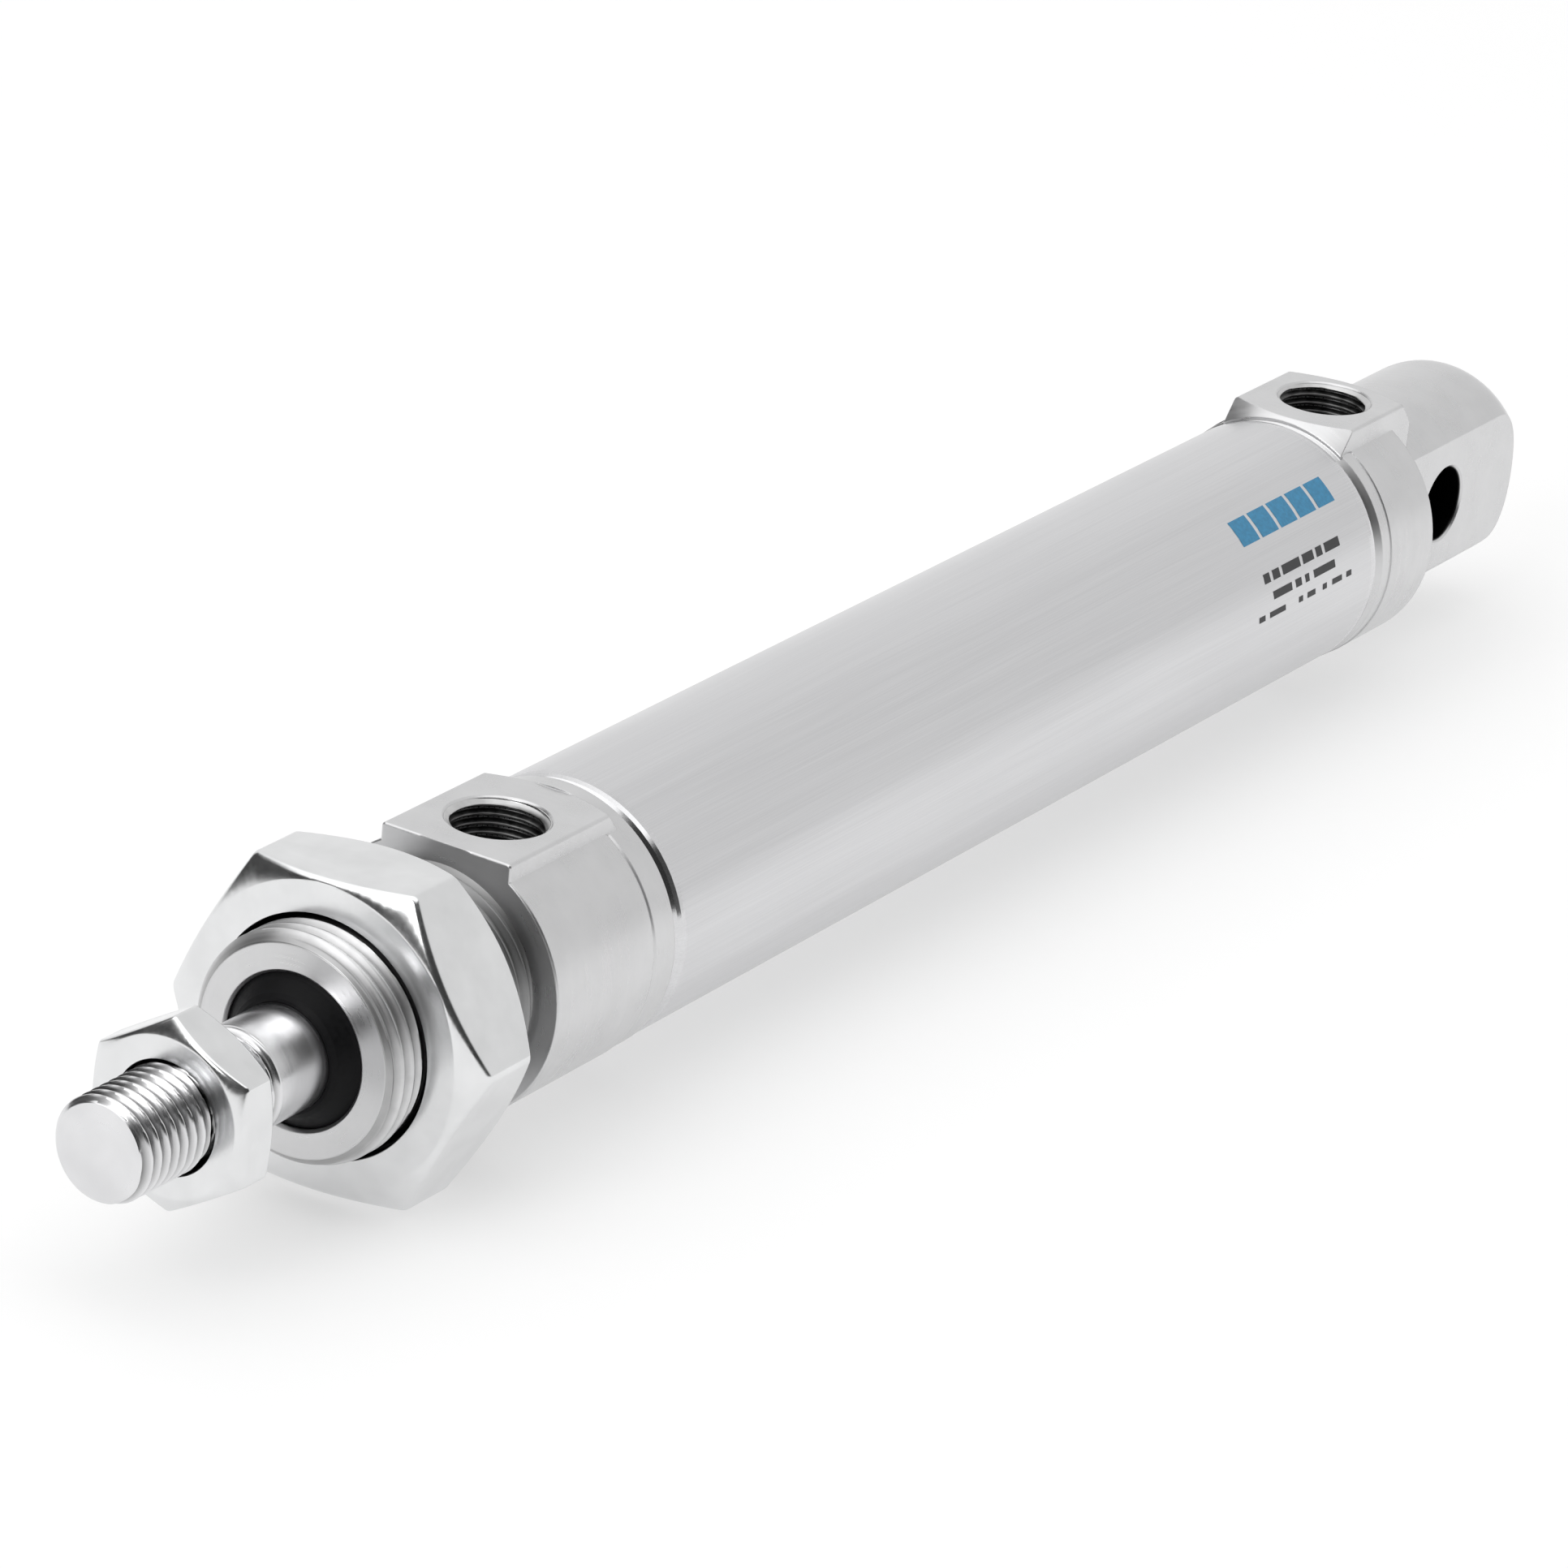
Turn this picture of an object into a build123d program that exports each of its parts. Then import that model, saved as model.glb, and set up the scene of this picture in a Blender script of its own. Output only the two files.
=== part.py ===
from build123d import *

import math
import os

# A round double-acting pneumatic cylinder with its rod retracted.
# Millimetres. +X runs along the cylinder's axis towards the rod end, +Z points up through
# the two air ports, and the origin is the centre of the rear eye's pivot bore.

# Driving dimensions
BORE = 25.0
STROKE = 100.0
ROD_DIAMETER = 10.0
ROD_THREAD_LENGTH = 22.0
ROD_THREAD_TO_SHOULDER = 28.0
COLLAR_DIAMETER = 22.0
COLLAR_LENGTH = 22.0
PIVOT_TO_SHOULDER = 76.0 + STROKE
EYE_BORE_DIAMETER = 8.0
EYE_WIDTH = 16.0
PORT_DIAMETER = 9.73

# Barrel
TUBE_DIAMETER = 26.2
CAP_DIAMETER = 26.6
CAP_TURNED_DIAMETER = 26.4
PAD_HALF_WIDTH = 7.0
FRONT_PAD_HEIGHT = 13.0
REAR_PAD_HEIGHT = 13.6
PAD_EDGE = 0.4
FRONT_CAP_LENGTH = 19.2
FRONT_CAP_TURNED = 3.5
FRONT_PORT_FROM_SHOULDER = 8.2
FRONT_PORT_DEPTH = 6.4
CAP_TO_CAP = 133.2
REAR_CAP_TURNED = 2.4
REAR_PORT_X = 14.8
REAR_PORT_DEPTH = 8.1
REAR_CAP_BACK = 11.5
REAR_PAD_BACK = 8.4
LUG_DIAMETER = 21.4
LUG_LENGTH = 16.2
LUG_ROUNDING = 5.0
PASSAGE_RADIUS = 1.75
PORT_COUNTERSINK = 0.2
EYE_COUNTERSINK = 0.3
FLAT_STEP_BACK = 1.2
SHARP_EDGE = 0.15
BROKEN_EDGE = 0.3
BACK_EDGE = 0.8
REAR_CAP_EDGE = 0.6
FRONT_CAP_GROOVE = (0.3, 0.15)

# Spigot that each cap has inside the tube, measured from the cap's face
SPIGOT_LENGTH = 6.6
SPIGOT_LEAD = (0.4, 0.5)
GRIP_GROOVE_END = 1.15
GRIP_GROOVE_DEPTH = 0.65
O_RING_GROOVE = (2.2, 4.4)
O_RING_GROOVE_DEPTH = 1.8
O_RING_SECTION_RADIUS = 0.78

# Rolled ends of the tube, measured from each cap's face: where the lip grips the spigot's
# groove, and how it curves up to the tube's outside, as (step, drop) points
LIP_END = 1.1
LIP_DEPTH = 0.6
FRONT_LIP = ((0.45, 1.0), (0.8, 0.62), (1.1, 0.3), (1.5, 0.1), (1.9, 0.02), (2.2, 0.0))
REAR_LIP = ((0.12, 0.55), (0.35, 0.25), (0.7, 0.06), (1.1, 0.0))

# Threads: plain cylinders at the major diameter, and at the pitch diameter where a nut holds
# them, with the chamfers at their ends. The rod's is as wide as the rod, and runs out on it.
COLLAR_PITCH_RADIUS = 10.5
COLLAR_CHAMFER = 1.0
ROD_PITCH_RADIUS = 4.6
ROD_CHAMFER = 0.55

# Rod gland
WIPER_RECESS_RADIUS = 7.25
WIPER_BASE = 5.0
WIPER_REACH = 1.4
SEAL_HEIGHT = 4.4
BUSH_RADIUS = 6.3
BUSH_LENGTH = 14.4
BUSH_EDGE = 0.3
ROD_ANNULUS_RADIUS = 5.8
SEAL_LIP = 0.45

# Nuts, across flats and thickness
NUT_FACE_SHARE = 0.987
NUT_CHAMFER_ANGLE = 30.0
COLLAR_NUT = (30.0, 10.0)
COLLAR_NUT_FRONT = 17.8
COLLAR_NUT_TURN = 3.0
COLLAR_NUT_MOUTH = 11.3
ROD_NUT = (16.0, 5.0)
ROD_NUT_FRONT = 40.6
ROD_NUT_TURN = 32.0
ROD_NUT_MOUTH = 5.2
PISTON_NUT = (11.0, 5.0)
PISTON_NUT_MOUTH = 3.8

# Rod
ROD_TAIL_BEYOND_NUT = 0.8

# Piston
PISTON_LENGTH = 18.6
PISTON_RADIUS = 12.3
PISTON_HUB_RADIUS = 3.5
PISTON_POCKET = (7.5, 3.0)
WASHER_THICKNESS = 1.0
PISTON_EDGE = 0.4
ROD_O_RING_GROOVE = 1.5
ROD_O_RING_SECTION_RADIUS = 0.7
SEAL_GROOVE_RADIUS = 9.3
SEAL_GROOVE_WIDTH = 2.8
SEAL_GROOVE_INSET = 1.5
MAGNET = (7.0, 10.4, 4.0)
GUIDE_GROOVE_RADIUS = 11.2
GUIDE_GROOVE_WIDTH = 6.0
CUSHION_INNER_RADIUS = 8.6
CUSHION_OUTER_RADIUS = 11.2
CUSHION_THICKNESS = 1.8
CUSHION_PROUD = 0.4
REAR_CAVITY_RADIUS = 8.0
REAR_CAVITY_DEPTH = 4.9

# Clearances
END_CLEARANCE = 0.1
SLIDING = 0.04
RUNNING = 0.03
SEATED = 0.02

# Places along the axis
SHOULDER = PIVOT_TO_SHOULDER
COLLAR_FRONT = SHOULDER + COLLAR_LENGTH
ROD_TIP = SHOULDER + ROD_THREAD_TO_SHOULDER + ROD_THREAD_LENGTH
COLLAR_NUT_FRONT_X = SHOULDER + COLLAR_NUT_FRONT
COLLAR_NUT_BACK_X = COLLAR_NUT_FRONT_X - COLLAR_NUT[1]
ROD_NUT_FRONT_X = SHOULDER + ROD_NUT_FRONT
ROD_NUT_BACK_X = ROD_NUT_FRONT_X - ROD_NUT[1]
FRONT_PORT_X = SHOULDER - FRONT_PORT_FROM_SHOULDER
FRONT_CAP_BACK = SHOULDER - FRONT_CAP_LENGTH
REAR_CAP_FRONT = FRONT_CAP_BACK - CAP_TO_CAP
FRONT_SPIGOT_END = FRONT_CAP_BACK - SPIGOT_LENGTH
REAR_SPIGOT_END = REAR_CAP_FRONT + SPIGOT_LENGTH
PISTON_BACK = REAR_SPIGOT_END + CUSHION_PROUD + END_CLEARANCE
PISTON_FRONT = PISTON_BACK + PISTON_LENGTH
PISTON_SPLIT = (PISTON_BACK + PISTON_FRONT) / 2
PISTON_SEAT = PISTON_BACK + PISTON_POCKET[1]

BORE_RADIUS = BORE / 2
ROD_RADIUS = ROD_DIAMETER / 2
COLLAR_RADIUS = COLLAR_DIAMETER / 2
CAP_RADIUS = CAP_DIAMETER / 2
TURNED_RADIUS = CAP_TURNED_DIAMETER / 2

parts = {}


def turned(*outline):
    """A solid turned about the X axis from a closed outline of (x, radius) points."""
    return revolve(make_face(Polyline(*outline, close=True)), Axis.X)


def ring(x_low, x_high, inner, outer, bevel=0.0):
    """A plain turned ring, with its two outer edges bevelled."""
    if bevel == 0.0:
        return turned((x_low, inner), (x_high, inner), (x_high, outer), (x_low, outer))
    return turned(
        (x_low, inner),
        (x_high, inner),
        (x_high, outer - bevel),
        (x_high - bevel, outer),
        (x_low + bevel, outer),
        (x_low, outer - bevel),
    )


def nut_seat(x_back, x_front, major_radius, pitch_radius):
    """Outline points, from front to back, where a nut is screwed onto a thread."""
    step = major_radius - pitch_radius
    return (
        (x_front, major_radius),
        (x_front - step, pitch_radius),
        (x_back + step, pitch_radius),
        (x_back, major_radius),
    )


def rod_along_x(x_low, x_high, radius):
    """A plain cylinder on the X axis, used as a cutter."""
    return Pos((x_low + x_high) / 2, 0, 0) * Rot(0, 90, 0) * Cylinder(radius, x_high - x_low)


def hexagonal_nut(x_back, size, bore_radius, mouth_radius, turn):
    """A hexagonal nut on the X axis, chamfered at 30 degrees on both faces.

    Its bore is countersunk at 45 degrees, out to the mouth radius."""
    across_flats, thickness = size
    x_front = x_back + thickness
    corner = across_flats / math.sqrt(3)
    face_radius = across_flats / 2 * NUT_FACE_SHARE
    chamfer = (corner - face_radius) * math.tan(math.radians(NUT_CHAMFER_ANGLE))
    countersink = mouth_radius - bore_radius
    prism = extrude(Plane.YZ * RegularPolygon(corner, 6, rotation=turn), thickness)
    envelope = turned(
        (x_back, 0),
        (x_back, face_radius),
        (x_back + chamfer, corner),
        (x_front - chamfer, corner),
        (x_front, face_radius),
        (x_front, 0),
    )
    hole = turned(
        (x_back, 0),
        (x_back, mouth_radius),
        (x_back + countersink, bore_radius),
        (x_front - countersink, bore_radius),
        (x_front, mouth_radius),
        (x_front, 0),
    )
    return (Pos(x_back, 0, 0) * prism & envelope) - hole


def port_cutter(x, top, depth):
    """A tapped port drilled down from the pad's top, with a countersunk mouth."""
    radius = PORT_DIAMETER / 2
    mouth_radius = radius + PORT_COUNTERSINK
    mouth = Cone(radius, mouth_radius, PORT_COUNTERSINK)
    hole = Pos(x, 0, top - depth / 2) * Cylinder(radius, depth)
    return hole + Pos(x, 0, top - PORT_COUNTERSINK / 2) * mouth


def pad_block(x_low, x_high, height):
    """The raised port pad: a block from the axis up to the pad's flat top."""
    block = Box(x_high - x_low, 2 * PAD_HALF_WIDTH, height)
    top_edges = block.edges().filter_by(Axis.X).group_by(Axis.Z)[-1]
    block = fillet(top_edges, PAD_EDGE)
    return Pos((x_low + x_high) / 2, 0, height / 2) * block


def pad_cone(height):
    """Radius of the pad's corners, and how far they stand above the turned part of the cap."""
    corner_radius = math.hypot(PAD_HALF_WIDTH, height)
    return corner_radius, corner_radius - TURNED_RADIUS


def above_pad(x_low, x_high, height):
    """Cutter that mills the cap's round top down to the level of the pad."""
    return Pos((x_low + x_high) / 2, 0, 1.5 * height) * Box(x_high - x_low, CAP_DIAMETER, height)


def spigot_outline(face, sign):
    """The spigot that enters the tube, from a cap's face towards the chamber.

    It has a groove that the tube's rolled lip grips, and an O-ring groove."""
    groove_start, groove_end = O_RING_GROOVE
    lead_length, lead_depth = SPIGOT_LEAD
    seated_radius = BORE_RADIUS - SEATED
    steps = (
        (0.0, BORE_RADIUS - GRIP_GROOVE_DEPTH),
        (GRIP_GROOVE_END, BORE_RADIUS - GRIP_GROOVE_DEPTH),
        (GRIP_GROOVE_END, seated_radius),
        (groove_start, seated_radius),
        (groove_start, BORE_RADIUS - O_RING_GROOVE_DEPTH),
        (groove_end, BORE_RADIUS - O_RING_GROOVE_DEPTH),
        (groove_end, seated_radius),
        (SPIGOT_LENGTH - lead_length, seated_radius),
        (SPIGOT_LENGTH, BORE_RADIUS - lead_depth),
    )
    return [(face + sign * step, radius) for step, radius in steps]


def cushion_pocket(end, sign):
    """Cutter for the cushion ring's seat in a spigot's end face."""
    depth = CUSHION_THICKNESS - CUSHION_PROUD
    low, high = sorted((end, end - sign * depth))
    return ring(low, high, CUSHION_INNER_RADIUS - SEATED, CUSHION_OUTER_RADIUS + SEATED)


def lip_seal(x_low, x_high, inner, outer, sign):
    """A U-section seal, with its notch open towards the pressure side."""
    middle = (inner + outer) / 2
    open_side, back = (x_high, x_low) if sign > 0 else (x_low, x_high)
    notch = (open_side + back) / 2
    return turned(
        (back, inner),
        (back, outer - BROKEN_EDGE),
        (open_side, outer),
        (open_side, outer - SEAL_LIP),
        (notch, middle),
        (open_side, inner + SEAL_LIP),
        (open_side, inner),
    )


# Barrel: tube and the two caps that its ends are rolled into

def make_tube():
    """Thin drawn tube, with each end rolled inwards to a lip."""
    outer = TUBE_DIAMETER / 2
    lip_radius = BORE_RADIUS - LIP_DEPTH

    def lip(face, sign, curve):
        inside = [(LIP_END, BORE_RADIUS), (LIP_END, lip_radius), (curve[0][0], lip_radius)]
        outside = [(step, outer - drop) for step, drop in curve]
        return [(face + sign * step, radius) for step, radius in inside + outside]

    front = lip(FRONT_CAP_BACK, -1, FRONT_LIP)
    rear = lip(REAR_CAP_FRONT, 1, REAR_LIP)
    return turned(*front, *reversed(rear))


def make_bearing_cap():
    """Front cap: threaded collar, round body with a port pad, and the spigot."""
    step_x = FRONT_CAP_BACK + FRONT_CAP_TURNED
    groove_half, groove_depth = FRONT_CAP_GROOVE
    body = turned(
        (COLLAR_FRONT, 0),
        (COLLAR_FRONT, COLLAR_RADIUS - COLLAR_CHAMFER),
        (COLLAR_FRONT - COLLAR_CHAMFER, COLLAR_RADIUS),
        *nut_seat(COLLAR_NUT_BACK_X, COLLAR_NUT_FRONT_X, COLLAR_RADIUS, COLLAR_PITCH_RADIUS),
        (SHOULDER, COLLAR_RADIUS),
        (SHOULDER, CAP_RADIUS - SHARP_EDGE),
        (SHOULDER - SHARP_EDGE, CAP_RADIUS),
        (step_x + groove_half, CAP_RADIUS),
        (step_x, TURNED_RADIUS - groove_depth),
        (step_x - groove_half, TURNED_RADIUS),
        (FRONT_CAP_BACK + SHARP_EDGE, TURNED_RADIUS),
        (FRONT_CAP_BACK, TURNED_RADIUS - SHARP_EDGE),
        *spigot_outline(FRONT_CAP_BACK, -1),
        (FRONT_SPIGOT_END, 0),
    )
    corner_radius, cone = pad_cone(FRONT_PAD_HEIGHT)
    pad_back = step_x - cone
    block = pad_block(pad_back, SHOULDER, FRONT_PAD_HEIGHT)
    block = chamfer(block.faces().sort_by(Axis.X)[-1].edges(), SHARP_EDGE)
    pad = block & turned(
        (SHOULDER, 0),
        (SHOULDER, corner_radius),
        (step_x, corner_radius),
        (pad_back, TURNED_RADIUS),
        (pad_back, 0),
    )
    bush_end = COLLAR_FRONT - WIPER_BASE - SEAL_HEIGHT - BUSH_LENGTH
    seal_back = COLLAR_FRONT - WIPER_BASE - SEAL_HEIGHT
    bore = turned(
        (COLLAR_FRONT, 0),
        (COLLAR_FRONT, WIPER_RECESS_RADIUS + BROKEN_EDGE),
        (COLLAR_FRONT - BROKEN_EDGE, WIPER_RECESS_RADIUS),
        (seal_back, WIPER_RECESS_RADIUS),
        (seal_back, BUSH_RADIUS),
        (bush_end, BUSH_RADIUS),
        (bush_end, ROD_ANNULUS_RADIUS),
        (FRONT_SPIGOT_END, ROD_ANNULUS_RADIUS),
        (FRONT_SPIGOT_END, 0),
    )
    passage_top = FRONT_PAD_HEIGHT - FRONT_PORT_DEPTH / 2
    passage = Pos(FRONT_PORT_X, 0, passage_top / 2) * Cylinder(PASSAGE_RADIUS, passage_top)
    cap = body - above_pad(pad_back, SHOULDER, FRONT_PAD_HEIGHT) + pad - bore
    cap -= port_cutter(FRONT_PORT_X, FRONT_PAD_HEIGHT, FRONT_PORT_DEPTH)
    cap -= passage
    return cap - cushion_pocket(FRONT_SPIGOT_END, -1)


def make_end_cap():
    """Rear cap: round body with a port pad, the spigot, and the pivot eye's lug."""
    step_x = REAR_CAP_FRONT - REAR_CAP_TURNED
    lug_radius = LUG_DIAMETER / 2
    lug_end = -LUG_LENGTH
    centre_x = lug_end + LUG_ROUNDING
    centre_r = lug_radius - LUG_ROUNDING
    rounding = [
        (centre_x - LUG_ROUNDING * math.sin(turn), centre_r + LUG_ROUNDING * math.cos(turn))
        for turn in (math.radians(angle) for angle in range(0, 91, 3))
    ]
    body = turned(
        (REAR_SPIGOT_END, 0),
        *reversed(spigot_outline(REAR_CAP_FRONT, 1)),
        (REAR_CAP_FRONT, TURNED_RADIUS - REAR_CAP_EDGE),
        (REAR_CAP_FRONT - REAR_CAP_EDGE, TURNED_RADIUS),
        (step_x, TURNED_RADIUS),
        (step_x, CAP_RADIUS),
        (REAR_CAP_BACK + BACK_EDGE, CAP_RADIUS),
        (REAR_CAP_BACK, CAP_RADIUS - BACK_EDGE),
        (REAR_CAP_BACK, lug_radius + BACK_EDGE),
        (REAR_CAP_BACK - BACK_EDGE, lug_radius),
        *rounding,
        (lug_end, 0),
    )
    corner_radius, cone = pad_cone(REAR_PAD_HEIGHT)
    pad = pad_block(REAR_PAD_BACK, step_x + cone, REAR_PAD_HEIGHT) & turned(
        (step_x + cone, 0),
        (step_x + cone, TURNED_RADIUS),
        (step_x, corner_radius),
        (REAR_PAD_BACK + cone, corner_radius),
        (REAR_PAD_BACK, TURNED_RADIUS),
        (REAR_PAD_BACK, 0),
    )
    flat_front = REAR_CAP_BACK - FLAT_STEP_BACK
    flat_length = flat_front + 2 * LUG_LENGTH
    side = Box(flat_length, LUG_DIAMETER, 2 * LUG_DIAMETER)
    side_x = flat_front - flat_length / 2
    side_y = (EYE_WIDTH + LUG_DIAMETER) / 2
    cap = body - Pos(side_x, side_y, 0) * side
    cap -= Pos(side_x, -side_y, 0) * side
    cap += pad
    cap -= port_cutter(REAR_PORT_X, REAR_PAD_HEIGHT, REAR_PORT_DEPTH)
    cavity_end = REAR_SPIGOT_END - REAR_CAVITY_DEPTH
    cap -= rod_along_x(cavity_end, REAR_SPIGOT_END, REAR_CAVITY_RADIUS)
    passage_z = REAR_CAVITY_RADIUS - 1.5 * PASSAGE_RADIUS
    cap -= Pos(0, 0, passage_z) * rod_along_x(REAR_PORT_X, cavity_end, PASSAGE_RADIUS)
    eye_radius = EYE_BORE_DIAMETER / 2
    mouth_radius = eye_radius + EYE_COUNTERSINK
    half_width = EYE_WIDTH / 2
    eye = revolve(
        make_face(
            Polyline(
                (0, -half_width),
                (mouth_radius, -half_width),
                (eye_radius, EYE_COUNTERSINK - half_width),
                (eye_radius, half_width - EYE_COUNTERSINK),
                (mouth_radius, half_width),
                (0, half_width),
                close=True,
            )
        ),
        Axis.Y,
    )
    return cap - eye - cushion_pocket(REAR_SPIGOT_END, 1)


parts["barrel_tube"] = make_tube()
parts["bearing_cap"] = make_bearing_cap()
parts["end_cap"] = make_end_cap()

for name, face, sign in (("front", FRONT_CAP_BACK, -1), ("rear", REAR_CAP_FRONT, 1)):
    centre_radius = BORE_RADIUS - O_RING_SECTION_RADIUS - SEATED
    o_ring = Rot(0, 90, 0) * Torus(centre_radius, O_RING_SECTION_RADIUS)
    parts[f"{name}_cap_o_ring"] = Pos(face + sign * sum(O_RING_GROOVE) / 2, 0, 0) * o_ring
    end = face + sign * SPIGOT_LENGTH
    low, high = sorted((end + sign * CUSHION_PROUD, end + sign * (CUSHION_PROUD - CUSHION_THICKNESS)))
    parts[f"{name}_cushion_ring"] = ring(
        low + SEATED, high - SEATED, CUSHION_INNER_RADIUS, CUSHION_OUTER_RADIUS, SHARP_EDGE
    )

# Rod gland: bearing bush, rod seal and wiper, each running on the rod
wiper_back = COLLAR_FRONT - WIPER_BASE
seal_back = wiper_back - SEAL_HEIGHT
rod_clearance = ROD_RADIUS + RUNNING
parts["rod_bearing_bush"] = ring(
    seal_back - BUSH_LENGTH, seal_back, rod_clearance, BUSH_RADIUS - SEATED, BUSH_EDGE
)
parts["rod_seal"] = lip_seal(
    seal_back + SEATED, wiper_back - SEATED, rod_clearance, WIPER_RECESS_RADIUS - SEATED, -1
)
parts["rod_wiper_seal"] = turned(
    (wiper_back, rod_clearance + 0.3),
    (wiper_back, WIPER_RECESS_RADIUS - SEATED),
    (COLLAR_FRONT - 0.5, WIPER_RECESS_RADIUS - SEATED),
    (COLLAR_FRONT - 0.2, WIPER_RECESS_RADIUS - 0.4),
    (COLLAR_FRONT + 0.2, ROD_RADIUS + 1.5),
    (COLLAR_FRONT + WIPER_REACH - 0.3, ROD_RADIUS + 0.75),
    (COLLAR_FRONT + WIPER_REACH, ROD_RADIUS + 0.35),
    (COLLAR_FRONT + WIPER_REACH, rod_clearance),
    (COLLAR_FRONT + WIPER_REACH - 1.4, rod_clearance),
)

parts["collar_nut"] = hexagonal_nut(
    COLLAR_NUT_BACK_X, COLLAR_NUT, COLLAR_PITCH_RADIUS + SEATED, COLLAR_NUT_MOUTH, COLLAR_NUT_TURN
)


# Rod and piston

def make_rod():
    """Piston rod: threaded nose, and a stepped tail that carries the piston."""
    tail_end = PISTON_SEAT - WASHER_THICKNESS - PISTON_NUT[1] - ROD_TAIL_BEYOND_NUT
    return turned(
        (ROD_TIP, 0),
        (ROD_TIP, ROD_RADIUS - ROD_CHAMFER),
        (ROD_TIP - ROD_CHAMFER, ROD_RADIUS),
        *nut_seat(ROD_NUT_BACK_X, ROD_NUT_FRONT_X, ROD_RADIUS, ROD_PITCH_RADIUS),
        (PISTON_FRONT, ROD_RADIUS),
        (PISTON_FRONT, PISTON_HUB_RADIUS),
        (tail_end + BROKEN_EDGE, PISTON_HUB_RADIUS),
        (tail_end, PISTON_HUB_RADIUS - BROKEN_EDGE),
        (tail_end, 0),
    )


def piston_half(sign):
    """One half of the piston. The front half is mirrored for the rear one.

    Each half has a seal groove, and half of the magnet's and the guide ring's space."""
    outside = PISTON_FRONT if sign > 0 else PISTON_BACK

    def along(step):
        return outside - sign * step

    half_length = PISTON_LENGTH / 2
    magnet_inner, magnet_outer, magnet_length = MAGNET
    magnet_start = half_length - magnet_length / 2 - SEATED
    guide_start = half_length - GUIDE_GROOVE_WIDTH / 2
    groove_end = SEAL_GROOVE_INSET + SEAL_GROOVE_WIDTH
    return turned(
        (along(0), PISTON_HUB_RADIUS + SEATED),
        (along(0), PISTON_RADIUS - PISTON_EDGE),
        (along(PISTON_EDGE), PISTON_RADIUS),
        (along(SEAL_GROOVE_INSET), PISTON_RADIUS),
        (along(SEAL_GROOVE_INSET), SEAL_GROOVE_RADIUS),
        (along(groove_end), SEAL_GROOVE_RADIUS),
        (along(groove_end), PISTON_RADIUS),
        (along(guide_start), PISTON_RADIUS),
        (along(guide_start), GUIDE_GROOVE_RADIUS),
        (along(half_length), GUIDE_GROOVE_RADIUS),
        (along(half_length), magnet_outer + SEATED),
        (along(magnet_start), magnet_outer + SEATED),
        (along(magnet_start), magnet_inner - SEATED),
        (along(half_length), magnet_inner - SEATED),
        (along(half_length), PISTON_HUB_RADIUS + SEATED),
    )


def make_front_half():
    """The front half also has the small groove of the O-ring that seals it to the rod."""
    groove_radius = PISTON_HUB_RADIUS + ROD_O_RING_GROOVE
    groove_end = PISTON_SPLIT + ROD_O_RING_GROOVE
    return piston_half(1) - ring(PISTON_SPLIT, groove_end, PISTON_HUB_RADIUS, groove_radius)


def make_rear_half():
    """The rear half also has the pocket that the washer and the piston nut sit in."""
    return piston_half(-1) - rod_along_x(PISTON_BACK, PISTON_SEAT, PISTON_POCKET[0])


parts["piston_rod"] = make_rod()
parts["rod_nut"] = hexagonal_nut(
    ROD_NUT_BACK_X, ROD_NUT, ROD_PITCH_RADIUS + SEATED, ROD_NUT_MOUTH, ROD_NUT_TURN
)
parts["piston_front_half"] = make_front_half()
parts["piston_rear_half"] = make_rear_half()
parts["piston_magnet"] = ring(
    PISTON_SPLIT - MAGNET[2] / 2, PISTON_SPLIT + MAGNET[2] / 2, MAGNET[0], MAGNET[1], SHARP_EDGE
)
rod_o_ring_radius = PISTON_HUB_RADIUS + SEATED + ROD_O_RING_SECTION_RADIUS
rod_o_ring = Rot(0, 90, 0) * Torus(rod_o_ring_radius, ROD_O_RING_SECTION_RADIUS)
parts["piston_o_ring"] = Pos(PISTON_SPLIT + ROD_O_RING_GROOVE / 2, 0, 0) * rod_o_ring
washer_back = PISTON_SEAT - WASHER_THICKNESS
parts["piston_washer"] = ring(
    washer_back, PISTON_SEAT, PISTON_HUB_RADIUS + SEATED, PISTON_POCKET[0] - 0.5, SHARP_EDGE
)
parts["piston_nut"] = hexagonal_nut(
    washer_back - PISTON_NUT[1], PISTON_NUT, PISTON_HUB_RADIUS + SEATED, PISTON_NUT_MOUTH, 0.0
)

# Rings that the piston carries, and that run in the tube
ring_radius = BORE_RADIUS - SLIDING
for name, outside, sign in (("front", PISTON_FRONT, 1), ("rear", PISTON_BACK, -1)):
    near = outside - sign * (SEAL_GROOVE_INSET + SLIDING)
    far = outside - sign * (SEAL_GROOVE_INSET + SEAL_GROOVE_WIDTH - SLIDING)
    low, high = sorted((near, far))
    parts[f"{name}_piston_seal"] = lip_seal(low, high, SEAL_GROOVE_RADIUS + SLIDING, ring_radius, sign)
parts["piston_guide_ring"] = ring(
    PISTON_SPLIT - GUIDE_GROOVE_WIDTH / 2 + SLIDING,
    PISTON_SPLIT + GUIDE_GROOVE_WIDTH / 2 - SLIDING,
    GUIDE_GROOVE_RADIUS + SLIDING,
    ring_radius,
    SHARP_EDGE,
)

os.makedirs("parts", exist_ok=True)
for name, shape in parts.items():
    export_step(shape, f"parts/{name}.step")
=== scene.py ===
import math

import bmesh
import bpy
import numpy as np
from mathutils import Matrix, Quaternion, Vector


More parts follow.
